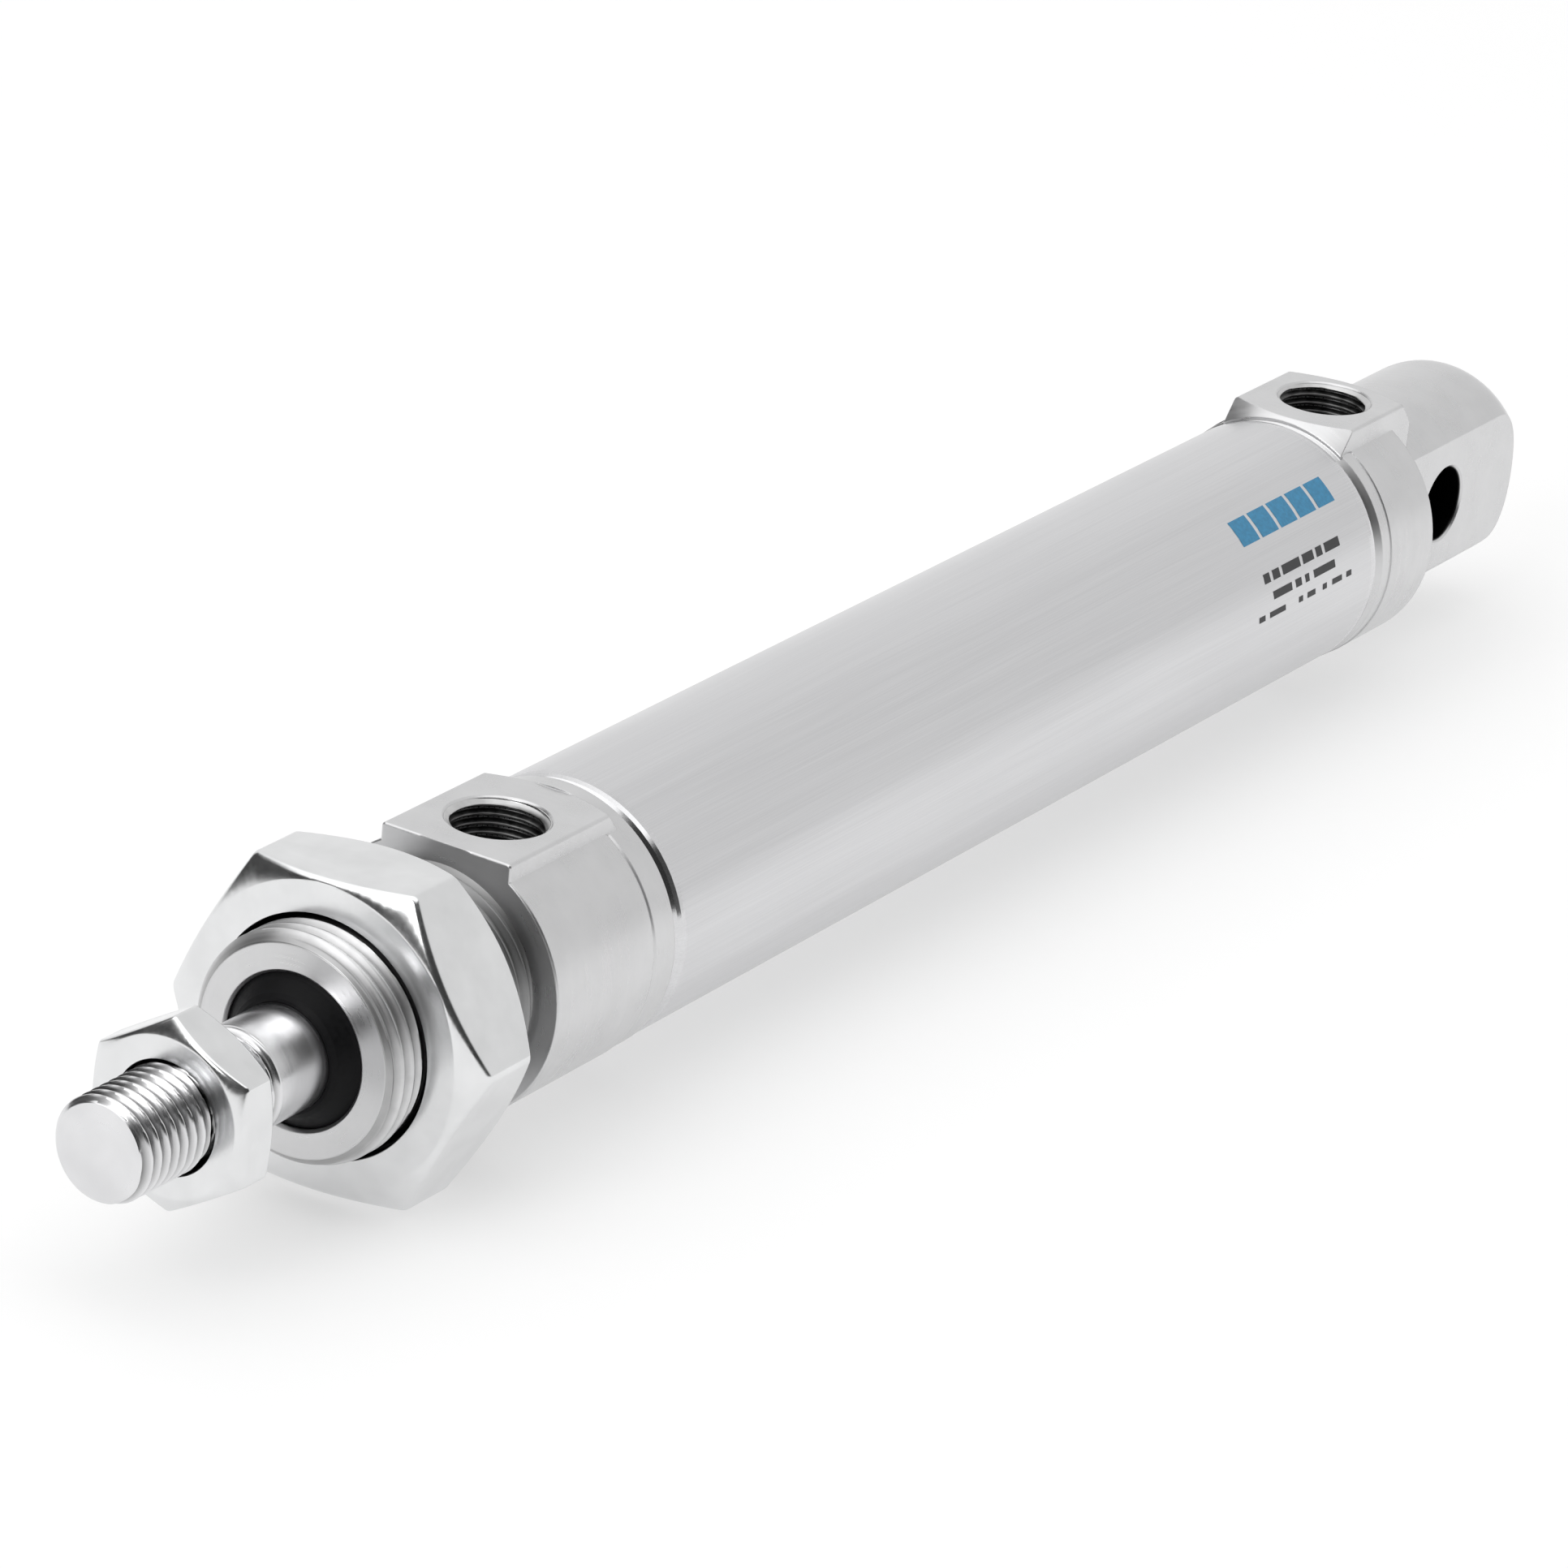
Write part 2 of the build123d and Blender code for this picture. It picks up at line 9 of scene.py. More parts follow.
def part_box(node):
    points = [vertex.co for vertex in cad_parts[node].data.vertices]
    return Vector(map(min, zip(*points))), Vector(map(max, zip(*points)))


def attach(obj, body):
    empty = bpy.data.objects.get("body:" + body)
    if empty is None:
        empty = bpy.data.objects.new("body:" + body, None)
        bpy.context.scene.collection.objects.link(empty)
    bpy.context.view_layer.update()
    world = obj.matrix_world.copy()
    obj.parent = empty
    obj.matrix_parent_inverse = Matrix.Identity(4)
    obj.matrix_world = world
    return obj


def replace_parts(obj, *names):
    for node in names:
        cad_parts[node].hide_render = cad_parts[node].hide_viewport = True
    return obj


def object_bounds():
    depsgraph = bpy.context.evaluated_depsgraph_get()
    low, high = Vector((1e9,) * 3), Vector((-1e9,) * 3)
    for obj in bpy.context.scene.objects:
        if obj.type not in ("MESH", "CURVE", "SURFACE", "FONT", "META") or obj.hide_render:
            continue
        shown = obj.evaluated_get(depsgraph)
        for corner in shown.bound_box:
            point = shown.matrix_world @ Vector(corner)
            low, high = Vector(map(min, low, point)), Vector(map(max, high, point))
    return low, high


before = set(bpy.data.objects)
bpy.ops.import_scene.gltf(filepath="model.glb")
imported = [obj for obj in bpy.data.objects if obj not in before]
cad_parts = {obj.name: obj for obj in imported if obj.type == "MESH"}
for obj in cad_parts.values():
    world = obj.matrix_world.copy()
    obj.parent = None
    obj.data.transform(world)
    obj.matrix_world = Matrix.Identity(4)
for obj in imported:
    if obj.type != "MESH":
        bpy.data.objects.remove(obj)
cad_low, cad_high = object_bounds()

# Looks of a round pneumatic cylinder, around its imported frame. Metres, +X towards the rod end,
# +Z up through the air ports, and the origin in the centre of the rear eye.
MM = 0.001
TAU = 2 * math.pi

# Lengths of the collar and of the rod's thread, in front of its last turn
COLLAR_LENGTH = 22 * MM
ROD_THREAD_LENGTH = 19.8 * MM

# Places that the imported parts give
rod_low, rod_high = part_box("piston_rod")
collar_nut_low, collar_nut_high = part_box("collar_nut")
rod_nut_low, rod_nut_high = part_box("rod_nut")
piston_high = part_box("piston_front_half")[1]
tube_low, tube_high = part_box("barrel_tube")
COLLAR_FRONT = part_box("bearing_cap")[1].x
SHOULDER = COLLAR_FRONT - COLLAR_LENGTH
ROD_TIP = rod_high.x
THREAD_START = ROD_TIP - ROD_THREAD_LENGTH
FRONT_PORT_X = SHOULDER - 8.2 * MM
REAR_PORT_X = 14.8 * MM

# Threads: pitch, major radius and depth
COLLAR_THREAD = (1.5 * MM, 11.0 * MM, 0.62 * MM)
ROD_THREAD = (1.25 * MM, 5.0 * MM, 0.767 * MM)
PORT_THREAD = (0.907 * MM, 4.865 * MM, 0.56 * MM)

# Parts of a pitch, from the middle of a thread's crest, where its flank starts and ends
FLANK_START, FLANK_END = 0.06, 0.42

# Collar: radius in the nut, at the front chamfer, at its inside, and of the plain collar below it
COLLAR_IN_NUT = 10.5 * MM
COLLAR_TIP = 10.02 * MM
COLLAR_INSIDE = 9.9 * MM
COLLAR_CORE = 9.95 * MM

# Rod: radius in the nut, at the tip's chamfer, of the tip and of the tail
ROD_IN_NUT = 4.6 * MM
ROD_CHAMFER_RADIUS = 4.45 * MM
ROD_TIP_RADIUS = 4.4 * MM
ROD_TAIL_RADIUS = 3.5 * MM

# Nuts: width across flats, turn in degrees, radius of the bore, and radius and depth of its
# countersunk mouth. Then each face's chamfer, front and back: radius of the flat face, slope in
# degrees and rounding of the edge.
COLLAR_NUT_MOUTH = 11.45 * MM
COLLAR_NUT = (30 * MM, 3.0, 10.52 * MM, COLLAR_NUT_MOUTH, 2.2 * MM)
COLLAR_NUT_CHAMFERS = ((14.5 * MM, 30, 0.95 * MM), (14.75 * MM, 42, 0.3 * MM))
ROD_NUT_MOUTH = 5.3 * MM
ROD_NUT = (16 * MM, 32.0, 4.62 * MM, ROD_NUT_MOUTH, 1.4 * MM)
ROD_NUT_CHAMFERS = ((7.55 * MM, 30, 0.55 * MM), (7.6 * MM, 30, 0.3 * MM))

# Radii between which the painted shade fades out of a thread, from its roots to its crests
COLLAR_ROOT_SHADE = (10.4 * MM, 10.85 * MM)
ROD_ROOT_SHADE = (4.3 * MM, 4.95 * MM)

# Height and length of the thread in each port, and the radius within which the eye's bore has painted
# shade
FRONT_PORT_TOP, FRONT_PORT_LENGTH = 12.8 * MM, 6.0 * MM
REAR_PORT_TOP, REAR_PORT_LENGTH = 13.4 * MM, 7.7 * MM
EYE_RADIUS = 4.05 * MM


# Meshes

def finish_mesh(name, mesh, body, material, sharp_angle=32.0):
    """Puts a mesh in the scene on its body, shaded smooth except at sharp edges."""
    work = bmesh.new()
    work.from_mesh(mesh)
    bmesh.ops.recalc_face_normals(work, faces=work.faces)
    work.to_mesh(mesh)
    work.free()
    mesh.shade_smooth()
    mesh.set_sharp_from_angle(angle=math.radians(sharp_angle))
    mesh.materials.clear()
    mesh.materials.append(material)
    piece = bpy.data.objects.new(name, mesh)
    bpy.context.scene.collection.objects.link(piece)
    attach(piece, body)
    return piece


def grid_mesh(name, along, radius, angles, closed, centre=(0, 0, 0), axis="X"):
    """A mesh from rings round an axis: along[k, j] and radius[k, j] at angles[j].

    A closed one joins its last ring to its first. An open one ends in a point at each end."""
    count, turns = radius.shape
    across, up = radius * np.cos(angles), radius * np.sin(angles)
    order = (along, across, up) if axis == "X" else (across, up, along)
    points = np.stack(order, axis=-1).reshape(-1, 3) + np.array(centre)
    index = np.arange(count * turns).reshape(count, turns)
    if closed:
        index = np.vstack([index, index[:1]])
    beside = np.roll(index, -1, axis=1)
    quads = np.stack([index[:-1], beside[:-1], beside[1:], index[1:]], axis=-1).reshape(-1, 4)
    faces = quads.tolist()
    points = points.tolist()
    if not closed:
        for ring in (0, count - 1):
            middle = np.mean(np.array(points)[index[ring]], axis=0)
            points.append(middle.tolist())
            tip = len(points) - 1
            faces += [[int(a), int(b), tip] for a, b in zip(index[ring], beside[ring])]
    mesh = bpy.data.meshes.new(name)
    mesh.from_pydata(points, [], faces)
    mesh.validate()
    return mesh


def thread_depth(phase):
    """Depth of a 60 degree thread, from 0 on its crest to 1 at its root, at that part of a turn."""
    away = np.abs((phase + 0.5) % 1.0 - 0.5)
    return np.clip((away - FLANK_START) / (FLANK_END - FLANK_START), 0, 1)


def even_angles(count):
    """Angles of that many even steps round a circle."""
    return np.arange(count) * TAU / count


def hexagon_angles():
    """Angles round a hexagon, close together at its corners."""
    corner = [-1.6, -1.2, -0.8, -0.4, 0.0, 0.4, 0.8, 1.2, 1.6]
    side = list(np.linspace(4.0, 56.0, 14))
    return np.radians([60 * k + a for k in range(6) for a in corner + side])


def hexagon_radius(angles, across_flats, rounding):
    """Radius of a hexagon with rounded corners. Its corners are at 0, 60, 120 ... degrees."""
    apothem = across_flats / 2
    from_corner = (angles + math.radians(30)) % math.radians(60) - math.radians(30)
    sharp = apothem / np.cos(math.radians(30) - np.abs(from_corner))
    reach = (apothem - rounding) / math.cos(math.radians(30))
    limit = math.atan2(rounding / 2, reach + rounding * math.cos(math.radians(30)))
    inside = np.clip(rounding**2 - (reach * np.sin(from_corner)) ** 2, 0, None)
    round_part = reach * np.cos(from_corner) + np.sqrt(inside)
    return np.where(np.abs(from_corner) < limit, round_part, sharp)


def nut_half(face_x, outward, outline, chamfer, bore, mouth, depth):
    """Rings of one half of a nut, from its bore round its face to its side.

    The chamfer is the radius of the flat face, the slope round it and the rounding of its edge."""
    face_radius, slope, edge = chamfer
    slope = math.radians(slope)
    rings = []

    def add(step, radius):
        rings.append((face_x - outward * step * np.ones_like(outline), radius * np.ones_like(outline)))

    # From the bore up its countersunk mouth
    add(depth + 0.05 * MM, bore)
    add(depth, bore)
    add(depth - (mouth - bore) * 0.7, mouth - 0.15 * MM)
    add(0.06 * MM, mouth)
    # Over the flat face, with a ring close inside each of its edges to keep it flat
    add(0.0, mouth + 0.06 * MM)
    add(0.0, mouth + 0.35 * MM)
    add(0.0, face_radius - 0.25 * MM)
    add(0.02 * MM, face_radius + 0.02 * MM)
    # Down the chamfer and round its edge to the side
    centre_radius = outline - edge
    centre_step = (outline - face_radius + edge) * math.tan(slope)
    for turn in np.linspace(slope, math.radians(90), 6):
        radius = centre_radius + edge * np.sin(turn)
        step = centre_step - edge * np.cos(turn)
        rings.append((face_x - outward * step, np.maximum(radius, face_radius + 0.03 * MM)))
    return rings


def hexagonal_nut(name, node, body, size, chamfers, material):
    """A nut with chamfered faces and softened edges, in place of its CAD node."""
    across_flats, turn, bore, mouth, depth = size
    angles = hexagon_angles()
    outline = hexagon_radius(angles, across_flats, 0.03 * across_flats)
    low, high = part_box(node)
    front = nut_half(high.x, 1, outline, chamfers[0], bore, mouth, depth)
    back = nut_half(low.x, -1, outline, chamfers[1], bore, mouth, depth)
    rings = front + back[::-1]
    along = np.array([ring[0] for ring in rings])
    radius = np.array([ring[1] for ring in rings])
    mesh = grid_mesh(name, along, radius, angles + math.radians(turn), True)
    piece = finish_mesh(name, mesh, body, material)
    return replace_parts(piece, node)


def threaded_collar(material):
    """The front cap's thread, laid over the cap's collar."""
    pitch, major, depth = COLLAR_THREAD
    angles = even_angles(180)
    start, end = SHOULDER - 0.05 * MM, COLLAR_FRONT - 0.02 * MM
    along = np.arange(start, end, pitch / 16)
    along = np.append(along, end)
    x = along[:, None] * np.ones((1, len(angles)))
    radius = major - depth * thread_depth(x / pitch - angles / TAU)
    front_cone = COLLAR_TIP + (end - x) * 0.95
    radius = np.minimum(radius, front_cone)
    nut_gap = np.minimum(x - collar_nut_low.x, collar_nut_high.x - x)
    inside_nut = COLLAR_IN_NUT + np.clip(0.5 * MM - nut_gap, 0, None)
    radius = np.minimum(radius, inside_nut)
    inner = COLLAR_INSIDE * np.ones((1, len(angles)))
    x = np.vstack([x, x[-1:], x[:1]])
    radius = np.vstack([radius, inner, inner])
    mesh = grid_mesh("collar_thread", x, radius, angles, True)
    return finish_mesh("collar_thread", mesh, "barrel", material, 60.0)


def port_thread(name, centre_x, top_z, length, material):
    """The thread inside an air port, laid on the wall of its hole."""
    pitch, major, depth = PORT_THREAD
    angles = even_angles(96)
    along = np.arange(top_z - length, top_z, pitch / 14)
    along = np.append(along, top_z)
    z = along[:, None] * np.ones((1, len(angles)))
    radius = major - depth * (1 - thread_depth(z / pitch - angles / TAU))
    from_end = np.minimum(top_z - z, z - (top_z - length))
    radius = np.maximum(radius, major - 0.03 * MM - 1.5 * from_end)
    outer = (major + 0.04 * MM) * np.ones((1, len(angles)))
    z = np.vstack([z, z[-1:], z[:1]])
    radius = np.vstack([radius, outer, outer])
    mesh = grid_mesh(name, z, radius, angles, True, (centre_x, 0, 0), "Z")
    return finish_mesh(name, mesh, "barrel", material, 60.0)


def piston_rod(material):
    """The rod with its rolled thread, in place of its CAD node."""
    pitch, major, depth = ROD_THREAD
    angles = even_angles(144)
    whole = np.ones_like(angles)
    steps = [
        (rod_low.x, (ROD_TAIL_RADIUS - 0.3 * MM) * whole),
        (rod_low.x + 0.3 * MM, ROD_TAIL_RADIUS * whole),
        (piston_high.x, ROD_TAIL_RADIUS * whole),
        (piston_high.x, major * whole),
        (THREAD_START - 0.1 * MM, major * whole),
    ]
    for x in np.arange(THREAD_START, ROD_TIP - 0.02 * MM, pitch / 14):
        run_out = min(1.0, (x - THREAD_START) / (1.2 * MM))
        radius = major - depth * run_out * thread_depth(x / pitch - angles / TAU)
        from_tip = ROD_TIP - x
        radius = np.maximum(radius, ROD_CHAMFER_RADIUS - max(from_tip - 0.1 * MM, 0))
        radius = np.minimum(radius, ROD_CHAMFER_RADIUS + from_tip)
        inside_nut = min(x - rod_nut_low.x, rod_nut_high.x - x)
        radius = np.minimum(radius, ROD_IN_NUT + max(0.4 * MM - inside_nut, 0))
        steps.append((x, radius))
    steps.append((ROD_TIP, ROD_TIP_RADIUS * whole))
    along = np.array([x * whole for x, radius in steps])
    mesh = grid_mesh("piston_rod_threaded", along, np.array([r for x, r in steps]), angles, False)
    piece = finish_mesh("piston_rod_threaded", mesh, "rod", material, 38.0)
    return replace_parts(piece, "piston_rod")


def bearing_cap(material):
    """The front cap as packed, with its plain collar drawn in under the thread."""
    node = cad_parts["bearing_cap"]
    mesh = node.data.copy()
    points = np.array([v.co for v in mesh.vertices], float).reshape(-1, 3)
    radius = np.hypot(points[:, 1], points[:, 2])
    collar = (points[:, 0] > SHOULDER - 1e-6) & (points[:, 0] < COLLAR_FRONT - 0.02 * MM)
    collar &= (radius > 10.2 * MM) & (radius < 11.05 * MM)
    points[collar, 1:] *= (COLLAR_CORE / radius[collar])[:, None]
    mesh.vertices.foreach_set("co", points.astype(np.float32).ravel())
    mesh.update()
    mesh.materials.clear()
    mesh.materials.append(material)
    piece = bpy.data.objects.new("bearing_cap_body", mesh)
    bpy.context.scene.collection.objects.link(piece)
    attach(piece, "barrel")
    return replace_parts(piece, "bearing_cap")


def ink_patch(name, patches, radius, thickness, material):
    """Thin printed rectangles that follow the tube, from (x low, x high, angle low, angle high)."""
    points, faces = [], []
    for x_low, x_high, low, high in patches:
        count = max(2, int((high - low) / 1.5))
        start = len(points)
        for angle in np.radians(np.linspace(low, high, count)):
            for r in (radius, radius + thickness):
                for x in (x_low, x_high):
                    points.append((x, r * math.cos(angle), r * math.sin(angle)))
        for k in range(count - 1):
            a, b = start + 4 * k, start + 4 * k + 4
            faces += [(a + 2, a + 3, b + 3, b + 2), (a + 1, a, b, b + 1)]
            faces += [(a, a + 2, b + 2, b), (a + 3, a + 1, b + 1, b + 3)]
        end = start + 4 * (count - 1)
        faces += [(start, start + 1, start + 3, start + 2), (end, end + 2, end + 3, end + 1)]
    mesh = bpy.data.meshes.new(name)
    mesh.from_pydata(points, [], faces)
    return finish_mesh(name, mesh, "barrel", material)


# Materials

class Nodes:
    """Small helpers that add nodes to a tree."""

    def __init__(self, tree, coordinates):
        self.tree = tree
        self.place = self.node("ShaderNodeTexCoord").outputs[coordinates]

    def node(self, kind, **values):
        made = self.tree.nodes.new(kind)
        for key, value in values.items():
            setattr(made, key, value)
        return made

    def link(self, source, target):
        self.tree.links.new(source, target)

    def put(self, target, value):
        if hasattr(value, "is_linked"):
            self.link(value, target)
        else:
            target.default_value = value

    def math(self, operation, first, second=0.0):
        made = self.node("ShaderNodeMath", operation=operation)
        self.put(made.inputs[0], first)
        self.put(made.inputs[1], second)
        return made.outputs[0]

    def axes(self):
        split = self.node("ShaderNodeSeparateXYZ")
        self.put(split.inputs[0], self.place)
        return split.outputs

    def spread(self, value, low, high, source_low=0.3, source_high=0.7, smooth=False):
        made = self.node("ShaderNodeMapRange")
        if smooth:
            made.interpolation_type = "SMOOTHSTEP"
        self.put(made.inputs["Value"], value)
        self.put(made.inputs["From Min"], source_low)
        self.put(made.inputs["From Max"], source_high)
        self.put(made.inputs["To Min"], low)
        self.put(made.inputs["To Max"], high)
        return made.outputs["Result"]


class Material(Nodes):
    """A Principled material."""

    def __init__(self, name):
        self.material = bpy.data.materials.new(name)
        self.material.use_nodes = True
        super().__init__(self.material.node_tree, "Object")
        self.shader = self.tree.nodes["Principled BSDF"]

    def noise(self, place, scale=1.0, detail=2.0, roughness=0.5):
        made = self.node("ShaderNodeTexNoise")
        self.put(made.inputs["Vector"], place)
        made.inputs["Scale"].default_value = scale
        made.inputs["Detail"].default_value = detail
        made.inputs["Roughness"].default_value = roughness
        return made.outputs["Fac"]

    def stretched(self, x, y, z):
        made = self.node("ShaderNodeMapping")
        self.put(made.inputs["Vector"], self.place)
        made.inputs["Scale"].default_value = (x, y, z)
        return made.outputs["Vector"]

    def radius(self):
        """Distance from the X axis."""
        x, y, z = self.axes()
        square = self.math("ADD", self.math("MULTIPLY", y, y), self.math("MULTIPLY", z, z))
        return self.math("SQRT", square)

    def turned(self, along, across, round_scale):
        """Coordinates for tool marks that run round the X axis."""
        x, y, z = self.axes()
        angle = self.math("ARCTAN2", z, y)
        joined = self.node("ShaderNodeCombineXYZ")
        self.put(joined.inputs[0], self.math("MULTIPLY", x, along))
        self.put(joined.inputs[1], self.math("MULTIPLY", self.radius(), across))
        self.put(joined.inputs[2], self.math("MULTIPLY", angle, round_scale))
        return joined.outputs[0]

    def colours(self, value, first, second):
        made = self.node("ShaderNodeMix", data_type="RGBA")
        self.put(made.inputs["Factor"], value)
        made.inputs["A"].default_value = (*first, 1)
        made.inputs["B"].default_value = (*second, 1)
        return made.outputs["Result"]

    def edges(self, radius):
        made = self.node("ShaderNodeBevel", samples=6)
        made.inputs["Radius"].default_value = radius
        return made.outputs["Normal"]

    def bump(self, height, strength, distance, normal=None):
        made = self.node("ShaderNodeBump")
        self.put(made.inputs["Height"], height)
        made.inputs["Strength"].default_value = strength
        made.inputs["Distance"].default_value = distance
        if normal is not None:
            self.put(made.inputs["Normal"], normal)
        return made.outputs["Normal"]

    def surface(self, colour, roughness, normal=None, metallic=1.0):
        self.put(self.shader.inputs["Base Color"], colour)
        self.put(self.shader.inputs["Roughness"], roughness)
        self.shader.inputs["Metallic"].default_value = metallic
        if normal is not None:
            self.put(self.shader.inputs["Normal"], normal)
        return self.material


def tube_material():
    """Satin steel drawn along the axis, brighter where the ends were rolled in."""
    m = Material("drawn_tube")
    fine = m.noise(m.stretched(60, 9000, 9000), detail=3)
    broad = m.noise(m.stretched(12, 700, 700), detail=2)
    cloud = m.noise(m.stretched(40, 120, 120), detail=2)
    grain = m.math("ADD", m.math("MULTIPLY", fine, 0.6), m.math("MULTIPLY", broad, 0.4))
    colour = m.colours(m.spread(grain, 0, 1), (0.63, 0.63, 0.64), (0.72, 0.72, 0.73))
    satin = m.math("ADD", m.spread(grain, 0.30, 0.40), m.spread(cloud, -0.03, 0.03))
    from_middle = m.math("ABSOLUTE", m.math("SUBTRACT", m.axes()[0], (tube_low.x + tube_high.x) / 2))
    half = (tube_high.x - tube_low.x) / 2
    rolled = m.spread(from_middle, 1, 0.35, half - 1.7 * MM, half - 1.3 * MM)
    return m.surface(colour, m.math("MULTIPLY", satin, rolled), m.bump(grain, 0.25, 0.01 * MM))


def cap_material(name, eye_radius=None):
    """Turned aluminium. Inside the eye's bore, when there is one, its shade is painted near black into
    the colour.
    """
    m = Material(name)
    marks = m.noise(m.turned(3500, 3500, 1.2), detail=3)
    cloud = m.noise(m.place, scale=260, detail=3)
    colour = m.colours(m.spread(cloud, 0, 1), (0.63, 0.63, 0.635), (0.68, 0.68, 0.685))
    roughness = m.math("ADD", m.spread(marks, 0.27, 0.36), m.spread(cloud, -0.03, 0.03))
    if eye_radius is not None:
        # Painted shade: inside the eye's bore the colour is near black, standing in for the shade in
        # the hole.
        x, y, z = m.axes()
        square = m.math("ADD", m.math("MULTIPLY", x, x), m.math("MULTIPLY", z, z))
        outside = m.spread(m.math("SQRT", square), 0, 1, eye_radius, eye_radius + 0.1 * MM)
        shade = m.node("ShaderNodeMix", data_type="RGBA")
        m.put(shade.inputs["Factor"], outside)
        shade.inputs["A"].default_value = (0.02, 0.02, 0.02, 1)
        m.put(shade.inputs["B"], colour)
        colour = shade.outputs["Result"]
    return m.surface(colour, roughness, m.bump(marks, 0.15, 0.01 * MM, m.edges(0.18 * MM)))


def thread_material(name, root, crest):
    """Turned metal, with painted shade darkening the thread's roots and a painted shadow on it behind
    the nut.
    """
    m = Material(name)
    marks = m.noise(m.turned(3500, 3500, 1.2), detail=2)
    cloud = m.noise(m.place, scale=500, detail=3)
    # Painted shade: the colour darkens towards the thread's roots and behind the nut, where shade
    # falls.
    unshaded = m.spread(m.radius(), 0.5, 1, root, crest)
    painted_shadow_behind_nut = m.spread(m.axes()[0], 0.2, 1, collar_nut_low.x, collar_nut_low.x + 2 * MM)
    painted_shade_and_patches = m.math("MULTIPLY", unshaded, m.math("MULTIPLY", painted_shadow_behind_nut, m.spread(cloud, 0.85, 1.1)))
    colour = m.colours(painted_shade_and_patches, (0.20, 0.20, 0.20), (0.68, 0.68, 0.685))
    return m.surface(colour, m.spread(marks, 0.34, 0.44), m.bump(marks, 0.15, 0.01 * MM))


def port_material(name, top):
    """The inside of an air port: plain metal at its mouth, with painted shade darkening it below."""
    m = Material(name)
    cloud = m.noise(m.place, scale=900, detail=3)
    # Painted shade: the colour goes near black below the port's mouth.
    mouth = m.spread(m.axes()[2], 0, 0.8, top - 0.5 * MM, top - 0.3 * MM)
    unshaded = m.math("ADD", mouth, m.spread(cloud, 0, 0.2))
    colour = m.colours(unshaded, (0.07, 0.07, 0.07), (0.66, 0.66, 0.66))
    return m.surface(colour, m.spread(cloud, 0.28, 0.40), m.bump(cloud, 0.15, 0.01 * MM))


def nut_material(name, mouth):
    """Zinc plate, with painted shade darkening it inside the nut's mouth."""
    m = Material(name)
    fine = m.noise(m.place, scale=2600, detail=2)
    cloud = m.noise(m.place, scale=240, detail=3)
    # Painted shade: inside the mouth's radius the colour is near black.
    outside = m.spread(m.radius(), 0, 1, mouth - 0.08 * MM, mouth + 0.02 * MM)
    plate = m.math("MULTIPLY", outside, m.spread(cloud, 0.9, 1))
    colour = m.colours(plate, (0.03, 0.03, 0.03), (0.82, 0.825, 0.83))
    roughness = m.math("ADD", m.spread(cloud, 0.17, 0.25), m.spread(fine, -0.02, 0.02))
    return m.surface(colour, roughness, m.bump(fine, 0.12, 0.01 * MM))


def rod_material():
    """Polished steel, with shade painted dark into the grooves of the nose's thread."""
    m = Material("polished_rod")
    marks = m.noise(m.turned(5200, 5200, 0.8), detail=3)
    cloud = m.noise(m.place, scale=200, detail=2)
    steel = m.colours(m.spread(cloud, 0, 1), (0.70, 0.70, 0.71), (0.78, 0.78, 0.79))
    x = m.axes()[0]
    nose = m.spread(x, 0, 1, THREAD_START, THREAD_START + 0.5 * MM)
    behind_tip = m.spread(x, 1, 0, ROD_TIP - 0.5 * MM, ROD_TIP - 0.3 * MM)
    # Painted shade: the thread's grooves are coloured dark, as if in shadow.
    groove = m.spread(m.radius(), 1, 0, *ROD_ROOT_SHADE)
    painted_groove_shade = m.math("MULTIPLY", m.math("MULTIPLY", nose, behind_tip), groove)
    mix = m.node("ShaderNodeMix", data_type="RGBA")
    m.put(mix.inputs["Factor"], painted_groove_shade)
    m.put(mix.inputs["A"], steel)
    mix.inputs["B"].default_value = (0.26, 0.26, 0.26, 1)
    satin = m.math("ADD", m.spread(marks, 0.15, 0.23), m.spread(cloud, -0.02, 0.02))
    roughness = m.math("ADD", satin, m.math("MULTIPLY", nose, 0.04))
    return m.surface(mix.outputs["Result"], roughness, m.bump(marks, 0.1, 0.01 * MM))


def rubber_material(name, base, roughness, gloss=0.4):
    """Moulded rubber or plastic, finely grained."""
    m = Material(name)
    fine = m.noise(m.place, scale=1800, detail=3)
    light = tuple(1.7 * part for part in base)
    colour = m.colours(m.spread(fine, 0, 1), base, light)
    rough = m.spread(fine, roughness - 0.06, roughness + 0.06)
    m.shader.inputs["Specular IOR Level"].default_value = gloss
    return m.surface(colour, rough, m.bump(fine, 0.15, 0.02 * MM), metallic=0.0)


def plain_metal(name, dark, light, low, high):
    """Turned metal between two colours and two roughnesses."""
    m = Material(name)
    marks = m.noise(m.turned(3000, 3000, 2.0), detail=2)
    cloud = m.noise(m.place, scale=400, detail=3)
    colour = m.colours(m.spread(cloud, 0, 1), dark, light)
    return m.surface(colour, m.spread(marks, low, high), m.bump(marks, 0.15, 0.01 * MM))


def ink_material(name, base):
    """Printed ink, half matt."""
    m = Material(name)
    fine = m.noise(m.place, scale=2500, detail=2)
    light = tuple(min(1.0, 1.25 * part + 0.01) for part in base)
    colour = m.colours(m.spread(fine, 0, 1), base, light)
    return m.surface(colour, m.spread(fine, 0.42, 0.55), m.bump(fine, 0.05, 0.01 * MM), metallic=0.0)


